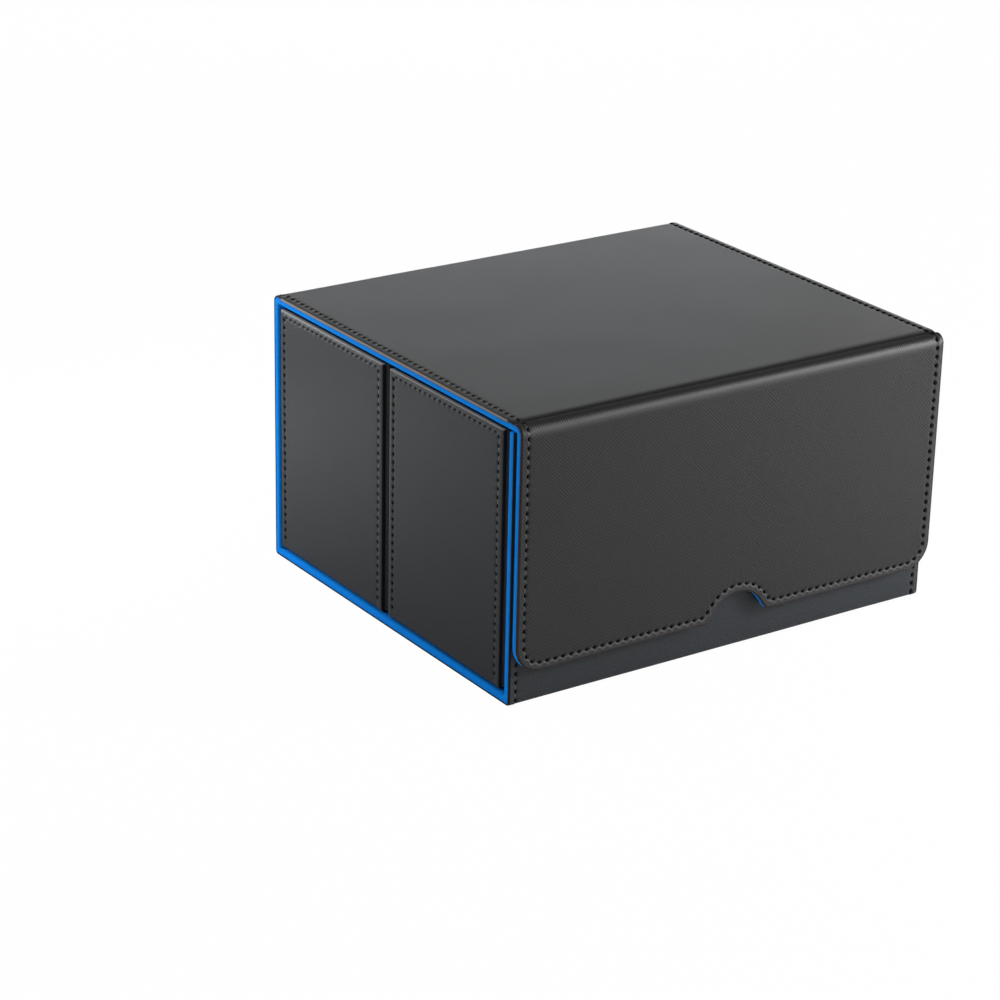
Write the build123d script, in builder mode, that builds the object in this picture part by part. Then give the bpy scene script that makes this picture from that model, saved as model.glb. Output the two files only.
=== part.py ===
import os
from math import cos, radians, sin, tan

from build123d import *

os.makedirs("parts", exist_ok=True)

# Closed case, outside
case_width = 201.0
case_depth = 177.0
case_height = 113.0

# Laminate of the case: leather outside, stiff board, felt lining inside
cover_thickness = 1.0
board_thickness = 1.3
lining_thickness = 1.0
rim_turn = 1.0  # felt turned round the edge of a board

# Folds of the case, as outer radii
fold_radius = 1.6  # both bottom edges
lid_fold_radius = 2.5  # living hinge of the lid, at the back
flap_fold_radius = 4.0  # living hinge of the flap, at the front
inner_fold_radius = 0.3
fold_relief = 0.6  # room between the boards at a fold

# Front wall and flap
flap_gap = 1.4  # flap to front wall
lid_gap = 0.6  # lid to the top of the front wall
flap_foot = 14.5  # floor up to the lower edge of the flap
flap_corner_radius = 11.0
notch_height = 10.4
notch_radius = 13.5
notch_slope = 54.0  # degrees from level, at the sides of the notch
notch_foot_radius = 1.6
notch_shift = 3.3  # right of the flap's middle

# Pressed crease on the lid, along the flap's fold
crease_setback = 5.4  # front face to the middle of the crease
crease_depth = 0.45
crease_radius = 2.2

# Magnets of the flap and the steel discs that they close on
magnet_diameter = 12.0
magnet_spacing = 120.0
magnet_rise = 14.0  # lower edge of the flap up to the magnets' middle
magnet_clearance = 0.1

# Drawers, alike and side by side
drawer_recess = 0.7  # open end of the case to a drawer's end face
rear_clearance = 0.3
middle_clearance = 2.2
front_clearance = 2.2
seat_clearance = 0.2  # underside
head_clearance = 1.9  # below the lid
drawer_cover_thickness = 0.5
drawer_board_thickness = 1.0
drawer_lining_thickness = 0.4
drawer_corner_radius = 0.9
drawer_hem = 6.0  # leather turned down inside the rim

# Stitched band over a drawer's ends and underside
band_thickness = 1.4
band_rear_margin = 0.3  # bare wall left behind the band
band_front_margin = 2.4  # bare wall left in front of it
band_fold_radius = 2.2

overrun = 2.0  # cutters pass the faces that they cut

# Faces of the case
front_face = -case_depth / 2
back_face = case_depth / 2
panel_thickness = cover_thickness + board_thickness + lining_thickness
board_inset = cover_thickness + board_thickness
wall_face = front_face + panel_thickness + flap_gap
wall_top = case_height - panel_thickness - lid_gap
inner_front = wall_face + panel_thickness
inner_back = back_face - panel_thickness
board_length = case_width - 2 * rim_turn
board_foot = board_inset + fold_relief
lid_board_back = back_face - panel_thickness - fold_relief
lid_board_front = front_face + flap_fold_radius + fold_relief
flap_board_top = case_height - flap_fold_radius - fold_relief
wall_core = wall_face + board_inset  # inner face of the front wall's board
flap_core = front_face + board_inset  # inner face of the flap's board
magnet_height = flap_foot + magnet_rise
disc_hole = magnet_diameter + 2 * magnet_clearance

# Reach of the laminate past the middle of a living hinge, before the mitre cuts it
hinge_reach = lid_fold_radius + panel_thickness
bend_reach = flap_fold_radius + panel_thickness


def case_path(inset):
    return [
        (wall_face + inset, wall_top),
        (wall_face + inset, inset),
        (back_face - inset, inset),
        (back_face - inset, case_height - inset),
        (back_face - hinge_reach, case_height - inset),
    ]


def lid_path(inset):
    return [
        (back_face - inset, case_height - hinge_reach),
        (back_face - inset, case_height - inset),
        (front_face + inset, case_height - inset),
        (front_face + inset, case_height - bend_reach),
    ]


def flap_path(inset):
    return [
        (front_face + bend_reach, case_height - inset),
        (front_face + inset, case_height - inset),
        (front_face + inset, flap_foot),
    ]


def layer(path, radii, near, far):
    # Section of one layer of the laminate, between two depths under the outer face
    near_radii = [max(radius - near, inner_fold_radius) for radius in radii]
    far_radii = [max(radius - far, inner_fold_radius) for radius in radii]
    with BuildSketch(Plane.YZ) as section:
        with BuildLine():
            outer = FilletPolyline(*path(near), radius=near_radii)
            inner = FilletPolyline(*path(far), radius=far_radii)
            Line(outer @ 0, inner @ 0)
            Line(outer @ 1, inner @ 1)
        make_face()
    return section.sketch


def mitre(corner_y, reach, upper):
    # Upper or lower half of a top corner, split on the diagonal through the fold's middle
    inward = -1 if corner_y > 0 else 1
    outside = (corner_y - inward * overrun, case_height + overrun)
    inside = (corner_y + inward * reach, case_height - reach)
    third = (inside[0], outside[1]) if upper else (outside[0], inside[1])
    with BuildSketch(Plane.YZ) as section:
        with BuildLine():
            Polyline(outside, inside, third, close=True)
        make_face()
    return section.sketch


def flap_outline(face_y, inset, top):
    # Front view of the flap with its finger notch, drawn in from the edge by an inset
    half = case_width / 2 - inset
    low = flap_foot + inset
    crown = notch_radius + inset
    middle = flap_foot + notch_height - notch_radius
    hip_x = crown * sin(radians(notch_slope))
    hip_z = middle + crown * cos(radians(notch_slope))
    foot_x = hip_x + (hip_z - low) / tan(radians(notch_slope))
    with BuildSketch(Plane.XZ.offset(-face_y)) as outline:
        with BuildLine():
            ThreePointArc(
                (notch_shift - hip_x, hip_z), (notch_shift, middle + crown), (notch_shift + hip_x, hip_z)
            )
            Polyline((notch_shift + hip_x, hip_z), (notch_shift + foot_x, low), (half, low), (half, top))
            Line((half, top), (-half, top))
            Polyline((-half, top), (-half, low), (notch_shift - foot_x, low), (notch_shift - hip_x, hip_z))
        make_face()
        corners = outline.vertices().group_by(Axis.Y)[0].sort_by(Axis.X)
        fillet([corners[0], corners[-1]], radius=flap_corner_radius - inset)
        feet = outline.vertices().group_by(Axis.Y)[0].sort_by(Axis.X)
        fillet(feet[1:-1], radius=max(notch_foot_radius - inset, inner_fold_radius))
    return outline.sketch


def disc_pair(face_y, diameter):
    # The two magnet places, seen from the front
    with BuildSketch(Plane.XZ.offset(-face_y)) as discs:
        with Locations((0, magnet_height)):
            with GridLocations(magnet_spacing, 0, 2, 1):
                Circle(diameter / 2)
    return discs.sketch


# Case: stiff boards of the front wall, bottom and back wall
with BuildPart() as front_wall_board:
    with BuildSketch(Plane.YZ):
        with Locations((wall_face + cover_thickness, board_foot)):
            Rectangle(board_thickness, wall_top - rim_turn - board_foot, align=Align.MIN)
    extrude(amount=board_length / 2, both=True)
    extrude(disc_pair(wall_core, disc_hole), amount=board_thickness, mode=Mode.SUBTRACT)
front_wall_board.part.label = "front_wall_board"
export_step(front_wall_board.part, "parts/front_wall_board.step")

with BuildPart() as bottom_board:
    bottom_front = wall_face + cover_thickness + fold_relief
    bottom_back = back_face - cover_thickness - fold_relief
    with BuildSketch(Plane.YZ):
        with Locations((bottom_front, cover_thickness)):
            Rectangle(bottom_back - bottom_front, board_thickness, align=Align.MIN)
    extrude(amount=board_length / 2, both=True)
bottom_board.part.label = "bottom_board"
export_step(bottom_board.part, "parts/bottom_board.step")

with BuildPart() as back_wall_board:
    back_wall_top = case_height - panel_thickness - fold_relief
    with BuildSketch(Plane.YZ):
        with Locations((back_face - board_inset, board_foot)):
            Rectangle(board_thickness, back_wall_top - board_foot, align=Align.MIN)
    extrude(amount=board_length / 2, both=True)
back_wall_board.part.label = "back_wall_board"
export_step(back_wall_board.part, "parts/back_wall_board.step")

# Case: steel discs let into the front wall
with BuildPart() as front_wall_plates:
    extrude(disc_pair(wall_core, magnet_diameter), amount=board_thickness)
front_wall_plates.part.label = "front_wall_plates"
export_step(front_wall_plates.part, "parts/front_wall_plates.step")

# Case: leather outside, folded round the front wall, bottom and back wall
case_radii = [fold_radius, fold_radius, lid_fold_radius]
with BuildPart() as case_cover:
    extrude(layer(case_path, case_radii, 0, cover_thickness), amount=case_width / 2, both=True)
    extrude(
        mitre(back_face, hinge_reach, upper=True),
        amount=case_width / 2 + overrun,
        both=True,
        mode=Mode.SUBTRACT,
    )
case_cover.part.label = "case_cover"
export_step(case_cover.part, "parts/case_cover.step")

# Case: felt inside, turned round the edges of the boards so that the open rims show felt
with BuildPart() as case_lining:
    extrude(
        layer(case_path, case_radii, cover_thickness, panel_thickness),
        amount=case_width / 2,
        both=True,
    )
    extrude(
        mitre(back_face, hinge_reach, upper=True),
        amount=case_width / 2 + overrun,
        both=True,
        mode=Mode.SUBTRACT,
    )
    add([front_wall_board.part, bottom_board.part, back_wall_board.part], mode=Mode.SUBTRACT)
    extrude(disc_pair(wall_core, disc_hole), amount=board_thickness, mode=Mode.SUBTRACT)
case_lining.part.label = "case_lining"
export_step(case_lining.part, "parts/case_lining.step")

# Lid: stiff board
with BuildPart() as lid_board:
    with BuildSketch(Plane.YZ):
        with Locations((lid_board_front, case_height - board_inset)):
            Rectangle(lid_board_back - lid_board_front, board_thickness, align=Align.MIN)
    extrude(amount=board_length / 2, both=True)
lid_board.part.label = "lid_board"
export_step(lid_board.part, "parts/lid_board.step")

# Lid: leather, with the crease pressed in along the flap's fold
lid_radii = [lid_fold_radius, flap_fold_radius]
with BuildPart() as lid_cover:
    extrude(layer(lid_path, lid_radii, 0, cover_thickness), amount=case_width / 2, both=True)
    for edge_y, reach in ((back_face, hinge_reach), (front_face, bend_reach)):
        extrude(
            mitre(edge_y, reach, upper=False),
            amount=case_width / 2 + overrun,
            both=True,
            mode=Mode.SUBTRACT,
        )
    with BuildSketch(Plane.YZ):
        with Locations((front_face + crease_setback, case_height - crease_depth + crease_radius)):
            Circle(crease_radius)
    extrude(amount=case_width / 2 + overrun, both=True, mode=Mode.SUBTRACT)
lid_cover.part.label = "lid_cover"
export_step(lid_cover.part, "parts/lid_cover.step")

# Lid: felt, turned round the board's ends
with BuildPart() as lid_lining:
    extrude(
        layer(lid_path, lid_radii, cover_thickness, panel_thickness),
        amount=case_width / 2,
        both=True,
    )
    for edge_y, reach in ((back_face, hinge_reach), (front_face, bend_reach)):
        extrude(
            mitre(edge_y, reach, upper=False),
            amount=case_width / 2 + overrun,
            both=True,
            mode=Mode.SUBTRACT,
        )
    add(lid_board.part, mode=Mode.SUBTRACT)
lid_lining.part.label = "lid_lining"
export_step(lid_lining.part, "parts/lid_lining.step")

# Flap: stiff board with the notch and the magnets' holes
with BuildPart() as flap_board:
    extrude(flap_outline(flap_core, rim_turn, flap_board_top), amount=board_thickness)
    extrude(disc_pair(flap_core, disc_hole), amount=board_thickness, mode=Mode.SUBTRACT)
flap_board.part.label = "flap_board"
export_step(flap_board.part, "parts/flap_board.step")

# Flap: disc magnets
with BuildPart() as flap_magnets:
    extrude(disc_pair(flap_core, magnet_diameter), amount=board_thickness)
flap_magnets.part.label = "flap_magnets"
export_step(flap_magnets.part, "parts/flap_magnets.step")

# Flap: leather and felt, folded at the top and cut to the flap's outline
with BuildPart() as flap_cover:
    extrude(layer(flap_path, [flap_fold_radius], 0, cover_thickness), amount=case_width / 2, both=True)
    extrude(
        mitre(front_face, bend_reach, upper=True),
        amount=case_width / 2 + overrun,
        both=True,
        mode=Mode.SUBTRACT,
    )
    extrude(flap_outline(0, 0, case_height), amount=case_depth / 2 + overrun, mode=Mode.INTERSECT)
flap_cover.part.label = "flap_cover"
export_step(flap_cover.part, "parts/flap_cover.step")

with BuildPart() as flap_lining:
    extrude(
        layer(flap_path, [flap_fold_radius], cover_thickness, panel_thickness),
        amount=case_width / 2,
        both=True,
    )
    extrude(
        mitre(front_face, bend_reach, upper=True),
        amount=case_width / 2 + overrun,
        both=True,
        mode=Mode.SUBTRACT,
    )
    extrude(flap_outline(0, 0, case_height), amount=case_depth / 2 + overrun, mode=Mode.INTERSECT)
    add(flap_board.part, mode=Mode.SUBTRACT)
    extrude(disc_pair(flap_core, disc_hole), amount=board_thickness, mode=Mode.SUBTRACT)
flap_lining.part.label = "flap_lining"
export_step(flap_lining.part, "parts/flap_lining.step")

# Drawers: overall size, then the inner box that the band goes round
drawer_length = case_width - 2 * drawer_recess
drawer_room = inner_back - inner_front - rear_clearance - middle_clearance - front_clearance
drawer_width = drawer_room / 2
drawer_bottom = panel_thickness + seat_clearance
drawer_top = case_height - panel_thickness - head_clearance
box_length = drawer_length - 2 * band_thickness
box_bottom = drawer_bottom + band_thickness
box_height = drawer_top - box_bottom
floor_bottom = box_bottom + drawer_cover_thickness
wall_foot = floor_bottom + drawer_board_thickness
rim_underside = drawer_top - drawer_cover_thickness
core_length = box_length - 2 * drawer_cover_thickness
core_width = drawer_width - 2 * drawer_cover_thickness
room_length = core_length - 2 * drawer_board_thickness
room_width = core_width - 2 * drawer_board_thickness
mouth_length = room_length - 2 * drawer_lining_thickness
mouth_width = room_width - 2 * drawer_lining_thickness
band_width = drawer_width - band_rear_margin - band_front_margin
band_shift = (band_front_margin - band_rear_margin) / 2  # band's middle to the rear of the drawer's
rear_middle = inner_back - rear_clearance - drawer_width / 2
front_middle = rear_middle - drawer_width - middle_clearance

for drawer, middle in (("rear_drawer", rear_middle), ("front_drawer", front_middle)):
    # Stitched leather band over both ends and the underside
    with BuildPart() as drawer_band:
        with BuildSketch(Plane.XZ.offset(-(middle + band_shift))):
            with BuildLine():
                band_outer = FilletPolyline(
                    (-drawer_length / 2, drawer_top),
                    (-drawer_length / 2, drawer_bottom),
                    (drawer_length / 2, drawer_bottom),
                    (drawer_length / 2, drawer_top),
                    radius=band_fold_radius,
                )
                band_inner = FilletPolyline(
                    (-box_length / 2, drawer_top),
                    (-box_length / 2, box_bottom),
                    (box_length / 2, box_bottom),
                    (box_length / 2, drawer_top),
                    radius=band_fold_radius - band_thickness,
                )
                Line(band_outer @ 0, band_inner @ 0)
                Line(band_outer @ 1, band_inner @ 1)
            make_face()
        extrude(amount=band_width / 2, both=True)
    drawer_band.part.label = f"{drawer}_band"
    export_step(drawer_band.part, f"parts/{drawer}_band.step")

    # Thin leather over the walls and floor, turned in over the rim and hemmed inside
    with BuildPart() as drawer_cover:
        with BuildSketch(Plane.XY.offset(box_bottom)):
            with Locations((0, middle)):
                RectangleRounded(box_length, drawer_width, drawer_corner_radius)
        extrude(amount=box_height)
        fillet(faces().sort_by(Axis.Z)[0].edges(), radius=band_fold_radius - band_thickness)
        with BuildSketch(Plane.XY.offset(floor_bottom)):
            with Locations((0, middle)):
                Rectangle(core_length, core_width)
        extrude(amount=rim_underside - floor_bottom, mode=Mode.SUBTRACT)
        with BuildSketch(Plane.XY.offset(rim_underside - drawer_hem)):
            with Locations((0, middle)):
                Rectangle(room_length, room_width)
                Rectangle(mouth_length, mouth_width, mode=Mode.SUBTRACT)
        extrude(amount=drawer_hem)
        with BuildSketch(Plane.XY.offset(rim_underside)):
            with Locations((0, middle)):
                Rectangle(mouth_length, mouth_width)
        extrude(amount=drawer_cover_thickness, mode=Mode.SUBTRACT)
    drawer_cover.part.label = f"{drawer}_cover"
    export_step(drawer_cover.part, f"parts/{drawer}_cover.step")

    # Floor board
    with BuildPart() as drawer_floor_board:
        with BuildSketch(Plane.XY.offset(floor_bottom)):
            with Locations((0, middle)):
                Rectangle(core_length, core_width)
        extrude(amount=drawer_board_thickness)
    drawer_floor_board.part.label = f"{drawer}_floor_board"
    export_step(drawer_floor_board.part, f"parts/{drawer}_floor_board.step")

    # Long walls, full length
    for side, toward in (("rear", 1), ("front", -1)):
        with BuildPart() as drawer_side_board:
            with BuildSketch(Plane.XY.offset(wall_foot)):
                with Locations((0, middle + toward * (core_width - drawer_board_thickness) / 2)):
                    Rectangle(core_length, drawer_board_thickness)
            extrude(amount=rim_underside - wall_foot)
        drawer_side_board.part.label = f"{drawer}_{side}_board"
        export_step(drawer_side_board.part, f"parts/{drawer}_{side}_board.step")

    # End walls, between the long ones
    for side, toward in (("left", -1), ("right", 1)):
        with BuildPart() as drawer_end_board:
            with BuildSketch(Plane.XY.offset(wall_foot)):
                with Locations((toward * (core_length - drawer_board_thickness) / 2, middle)):
                    Rectangle(drawer_board_thickness, room_width)
            extrude(amount=rim_underside - wall_foot)
        drawer_end_board.part.label = f"{drawer}_{side}_board"
        export_step(drawer_end_board.part, f"parts/{drawer}_{side}_board.step")

    # Felt inside, up to the hem
    with BuildPart() as drawer_lining:
        with BuildSketch(Plane.XY.offset(wall_foot)):
            with Locations((0, middle)):
                Rectangle(room_length, room_width)
        extrude(amount=rim_underside - drawer_hem - wall_foot)
        with BuildSketch(Plane.XY.offset(wall_foot + drawer_lining_thickness)):
            with Locations((0, middle)):
                Rectangle(mouth_length, mouth_width)
        extrude(amount=rim_underside - drawer_hem - wall_foot, mode=Mode.SUBTRACT)
    drawer_lining.part.label = f"{drawer}_lining"
    export_step(drawer_lining.part, f"parts/{drawer}_lining.step")
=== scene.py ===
import math
import random

import bmesh
import bpy
import numpy as np
from mathutils import Matrix, Vector, noise


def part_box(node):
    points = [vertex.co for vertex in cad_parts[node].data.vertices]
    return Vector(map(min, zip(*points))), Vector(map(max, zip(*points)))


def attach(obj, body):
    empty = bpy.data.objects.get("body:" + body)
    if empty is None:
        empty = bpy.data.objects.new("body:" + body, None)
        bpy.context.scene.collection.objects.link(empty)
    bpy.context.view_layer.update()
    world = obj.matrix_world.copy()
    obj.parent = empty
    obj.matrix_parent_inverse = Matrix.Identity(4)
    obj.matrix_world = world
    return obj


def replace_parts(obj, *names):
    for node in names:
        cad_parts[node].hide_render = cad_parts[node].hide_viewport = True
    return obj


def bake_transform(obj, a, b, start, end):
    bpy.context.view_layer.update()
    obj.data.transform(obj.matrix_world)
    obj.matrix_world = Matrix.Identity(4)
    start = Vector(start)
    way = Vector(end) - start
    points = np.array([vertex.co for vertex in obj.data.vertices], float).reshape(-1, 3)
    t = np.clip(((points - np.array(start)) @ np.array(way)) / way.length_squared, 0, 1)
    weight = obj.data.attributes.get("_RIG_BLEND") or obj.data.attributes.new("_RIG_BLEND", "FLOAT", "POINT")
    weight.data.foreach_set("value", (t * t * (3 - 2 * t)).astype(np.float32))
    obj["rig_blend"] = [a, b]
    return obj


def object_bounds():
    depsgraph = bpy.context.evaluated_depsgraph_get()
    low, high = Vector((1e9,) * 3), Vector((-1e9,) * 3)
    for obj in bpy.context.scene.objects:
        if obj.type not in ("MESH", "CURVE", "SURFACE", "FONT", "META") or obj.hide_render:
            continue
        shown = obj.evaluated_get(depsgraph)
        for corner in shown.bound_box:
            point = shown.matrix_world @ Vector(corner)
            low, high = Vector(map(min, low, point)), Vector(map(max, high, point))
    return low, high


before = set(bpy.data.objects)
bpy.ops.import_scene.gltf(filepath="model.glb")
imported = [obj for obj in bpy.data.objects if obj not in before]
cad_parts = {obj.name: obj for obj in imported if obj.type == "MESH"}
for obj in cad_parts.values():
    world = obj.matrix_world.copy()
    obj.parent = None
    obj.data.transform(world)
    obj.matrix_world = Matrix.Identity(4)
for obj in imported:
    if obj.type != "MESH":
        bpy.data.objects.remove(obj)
cadLow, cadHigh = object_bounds()
print("frame loaded,", len(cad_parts), "nodes")

mm = 0.001
rightAngle = math.pi / 2
hair, weld, sliver = 1e-9, 1e-7, 1e-6  # metres, smaller than anything on the box


def forward(angle):
    return Vector((math.cos(angle), math.sin(angle)))


def leftOf(angle):
    return Vector((-math.sin(angle), math.cos(angle)))


def layRoute(start, heading, steps):  # runs have no radius, folds turn left
    route, at, angle, travelled = [], Vector(start), heading, 0.0
    for length, radius in steps:
        route.append((travelled, at, angle, radius))
        travelled += length
        if radius:
            centre = at + radius * leftOf(angle)
            angle = angle + length / radius
            at = centre - radius * leftOf(angle)
        else:
            at = at + length * forward(angle)
    return route


def foldPoint(route, along, out):
    step = route[0]
    for other in route[1:]:
        if other[0] > along + hair:
            break
        step = other
    begin, at, angle, radius = step
    gone = along - begin
    if radius:
        return at + radius * leftOf(angle) - (radius + out) * leftOf(angle + gone / radius)
    return at + gone * forward(angle) - out * leftOf(angle)


def drawChain(bm, start, heading, moves):  # a move is radius, length or turn, steps
    draft = bmesh.new()
    chain = [bmesh.ops.create_vert(draft, co=(*start, 0))["vert"][0]]
    for radius, amount, steps in moves:
        centre = chain[-1].co.xy + math.copysign(radius, amount) * leftOf(heading)
        turn, stride = (amount, (0, 0)) if radius else (0, forward(heading) * amount / steps)
        bmesh.ops.spin(draft, geom=[chain[-1]], cent=(*centre, 0), axis=(0, 0, 1), dvec=(*stride, 0),
                       angle=turn, steps=steps)
        heading += turn
        for _ in range(steps):
            onward = [e.other_vert(chain[-1]) for e in chain[-1].link_edges]
            chain.append(next(v for v in onward if v not in chain[-2:]))
    drawn = [bm.verts.new(v.co) for v in chain]
    for pair in zip(drawn, drawn[1:]):
        bm.edges.new(pair)
    draft.free()
    return drawn


def chainEdges(chain):
    pairs = zip(chain, chain[1:])
    return [e for a, b in pairs for e in a.link_edges if e.other_vert(a) is b]


def chainLine(chain):
    return np.array([(v.co.x, v.co.y) for v in chain])


def newVerts(grown):
    return [g for g in grown["geom"] if isinstance(g, bmesh.types.BMVert)]


def bevelEdges(bm, edges, offset, segments, clamp):
    bmesh.ops.bevel(bm, geom=edges, offset=offset, offset_type="OFFSET", affect="EDGES", segments=segments,
                    profile=0.5, material=-1, clamp_overlap=clamp)


def cutSheet(bm, places, axis):
    normal = (1, 0, 0) if axis == 0 else (0, 1, 0)
    for place in places:
        bmesh.ops.bisect_plane(bm, geom=bm.verts[:] + bm.edges[:] + bm.faces[:], dist=weld,
                               plane_co=(place * normal[0], place * normal[1], 0), plane_no=normal)


def ringSheet(drawRing, insets):  # rings from the cut edge inwards, then one face in the middle
    bm = bmesh.new()
    rings = [drawRing(bm, inset) for inset in insets]
    for outer, inner in zip(rings, rings[1:]):
        bmesh.ops.bridge_loops(bm, edges=chainEdges(outer) + chainEdges(inner))
    bm.faces.new(rings[-1])
    return bm, {inset: chainLine(ring) for inset, ring in zip(insets, rings)}


def stripSheet(halfWidth, begin, end, step):
    bm = bmesh.new()
    size = Matrix.Diagonal((2 * halfWidth, end - begin, 1, 1))
    place = Matrix.Translation((0, (begin + end) / 2, 0))
    rows = max(1, round((end - begin) / step))
    bmesh.ops.create_grid(bm, x_segments=1, y_segments=rows, size=0.5, matrix=place @ size)
    return bm


def nearestOn(points, line):  # distance to a line of points, and the length along it
    best = np.full(len(points), np.inf)
    along = np.zeros(len(points))
    gone = 0.0
    for a, b in zip(line, line[1:]):
        run = b - a
        length = float(np.hypot(*run))
        share = np.clip((points - a) @ run / length**2, 0, 1)
        gap = np.hypot(*(points - a - share[:, None] * run).T)
        nearer = gap < best
        best[nearer] = gap[nearer]
        along[nearer] = gone + share[nearer] * length
        gone += length
    return best, along


def lengthsAlong(line):
    return np.concatenate([[0], np.cumsum(np.hypot(*(line[1:] - line[:-1]).T))])


def evenPitch(line, pitch):
    length = float(lengthsAlong(line)[-1])
    return length / round(length / pitch)


pressing = {  # how the sewing and the knife shape the leather, and how much painted highlight lies on it
    "edgeRound": 0.75 * mm,
    "edgeDrop": 0.30 * mm,
    "stripDome": 0.12 * mm,
    # painted highlight on the strip between the cut edge and the stitches
    "stripWear": 0.14,
    "pitWidth": 0.70 * mm,
    "pitDepth": 0.60 * mm,
    "grooveWidth": 0.45 * mm,
    "grooveDepth": 0.12 * mm,
    "ridgeRise": 0.24 * mm,  # leather pushed up round the stitches
    "ridgeWidth": 0.42 * mm,
    "ridgeSwing": 1.05 * mm,
    "ridgeLeast": 0.12,
    "ridgeShade": 0.3,  # share of painted highlight on the ridges that run up the piece, which face sideways to the light from above
    "waveSize": 34.0 * mm,
    "waveDepth": 0.10 * mm,
    "calmReach": 12.0 * mm,
    "dyeSlack": 0.01 * mm,
}


def bell(distance, width):
    return np.exp(-((distance / width) ** 2))


def gapTo(points, lines):
    return np.min([nearestOn(points, line)[0] for line in lines], axis=0)


def pressRow(points, edges, edgeGap, line, pitch):  # pits at the stitches, a ridge swings round them; the ridge gets painted highlight and the pit painted shade
    p = pressing
    gap, along = nearestOn(points, line)
    lengths = lengthsAlong(line)
    foot = np.stack([np.interp(along, lengths, line[:, k]) for k in (0, 1)], axis=1)
    aside = np.where(edgeGap < gapTo(foot, edges), -gap, gap)
    held = 0.5 - 0.5 * np.cos(2 * math.pi * along / pitch)
    pit = bell(gap, p["pitWidth"]) * held**2
    swing = p["ridgeSwing"] * (p["ridgeLeast"] + (1 - p["ridgeLeast"]) * held)
    ridge = bell(aside + swing, p["ridgeWidth"])
    # ridges of rows that run across the piece face the light from above and get the most painted highlight
    facing = np.abs(points[:, 1] - foot[:, 1]) / np.maximum(gap, hair)
    height = p["ridgeRise"] * ridge - p["pitDepth"] * pit - p["grooveDepth"] * bell(gap, p["grooveWidth"])
    return height, ridge * (p["ridgeShade"] + (1 - p["ridgeShade"]) * facing), pit


def pressSheet(bm, edges, rows, rowInset, seed, crease=None, pull=1.0):
    points = chainLine(bm.verts)
    edgeGap = gapTo(points, edges)
    p = pressing
    inRound = np.clip(1 - edgeGap / p["edgeRound"], 0, 1)
    height = -p["edgeDrop"] * (1 - np.sqrt(1 - inRound**2))
    strip = np.clip(edgeGap / rowInset, 0, 1)
    height += p["stripDome"] * np.sin(math.pi * strip)
    # painted highlight on the strip between the cut edge and the stitches, strongest at the edge
    wear = p["stripWear"] * (1 - strip**3)
    hole, crimp = np.zeros(len(points)), np.zeros(len(points))
    for line, pitch in rows:
        lift, ridge, pit = (pull * part for part in pressRow(points, edges, edgeGap, line, pitch))
        height += lift
        # painted highlight on the ridges, cleared from the pits
        wear = np.clip(np.maximum(wear, ridge) - pit, 0, 1)
        # painted shade in the stitch pits
        hole = np.maximum(hole, pit)
    if crease:
        off = points[:, 1] - crease["at"]
        height -= crease["depth"] * bell(off, crease["width"])
        hole = np.maximum(hole, crease["shade"] * bell(off - crease["shadeAt"], crease["shadeWidth"]))
        # painted highlight in a band along the crown of the fold
        wear = np.maximum(wear, crease["foldWear"] * bell(off - crease["foldAt"], crease["foldWidth"]))
        fromComb = np.abs(off - crease["combMiddle"]) / crease["combReach"]
        crimp = np.clip(crease["combPress"] * (1 - fromComb), 0, 1)
    calm = np.clip((edgeGap - rowInset) / p["calmReach"], 0, 1)
    # the first two values hold painted highlight and painted shade, baked into the leather
    values = {"wear": wear, "hole": hole, "crimp": crimp, "rim": edgeGap}
    layers = {key: bm.verts.layers.float.new(key) for key in values}
    for i, v in enumerate(bm.verts):
        wave = noise.noise(Vector((v.co.x / p["waveSize"], v.co.y / p["waveSize"], seed)))
        v.co.z = height[i] + p["waveDepth"] * wave * calm[i]
        for key, layer in layers.items():
            v[layer] = float(values[key][i])


def thickenSheet(bm, thickness, dye):  # cut edges and the dyed rim get materials of their own
    glued = set(newVerts(bmesh.ops.extrude_face_region(bm, geom=bm.faces[:])))
    for v in glued:
        v.co.z = -thickness  # flat on the glued side
    bm.normal_update()
    rim = bm.verts.layers.float["rim"]
    first, last = min(v.co.y for v in bm.verts), max(v.co.y for v in bm.verts)
    for f in bm.faces:
        below = sum(v in glued for v in f.verts)
        y = f.calc_center_median().y
        if 0 < below < len(f.verts):
            f.material_index = 2 if abs(f.normal.x) > abs(f.normal.y) else 1
        elif below == 0:
            kind = 1 if min(y - first, last - y) < dye[0] else 2
            dyed = max(v[rim] for v in f.verts) < dye[kind - 1] + pressing["dyeSlack"]
            f.material_index = kind if dyed else 0


def keepFlatMap(bm):
    flat = bm.loops.layers.uv.new("flat")
    for f in bm.faces:
        for loop in f.loops:
            loop[flat].uv = loop.vert.co.xy


def foldSheet(bm, route, place):
    for v in bm.verts:
        v.co = place(v.co.x, *foldPoint(route, v.co.y, v.co.z))


sharpAngle = {"leather": 38, "felt": 50, "thread": 80}  # degrees, shaded smooth below


def addPiece(bm, name, materials, kind="leather"):
    bmesh.ops.recalc_face_normals(bm, faces=bm.faces[:])
    sharp = math.radians(sharpAngle[kind])
    for f in bm.faces:
        f.smooth = True
    for e in bm.edges:
        e.smooth = len(e.link_faces) == 2 and e.calc_face_angle(0) < sharp
    mesh = bpy.data.meshes.new(name)
    bm.to_mesh(mesh)
    bm.free()
    for material in materials:
        mesh.materials.append(material)
    piece = bpy.data.objects.new(name, mesh)
    bpy.context.scene.collection.objects.link(piece)
    return piece


def startFinish(name):
    material = bpy.data.materials.new(name)
    material.use_nodes = True
    tree = material.node_tree
    return material, tree, tree.nodes["Principled BSDF"]


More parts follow.
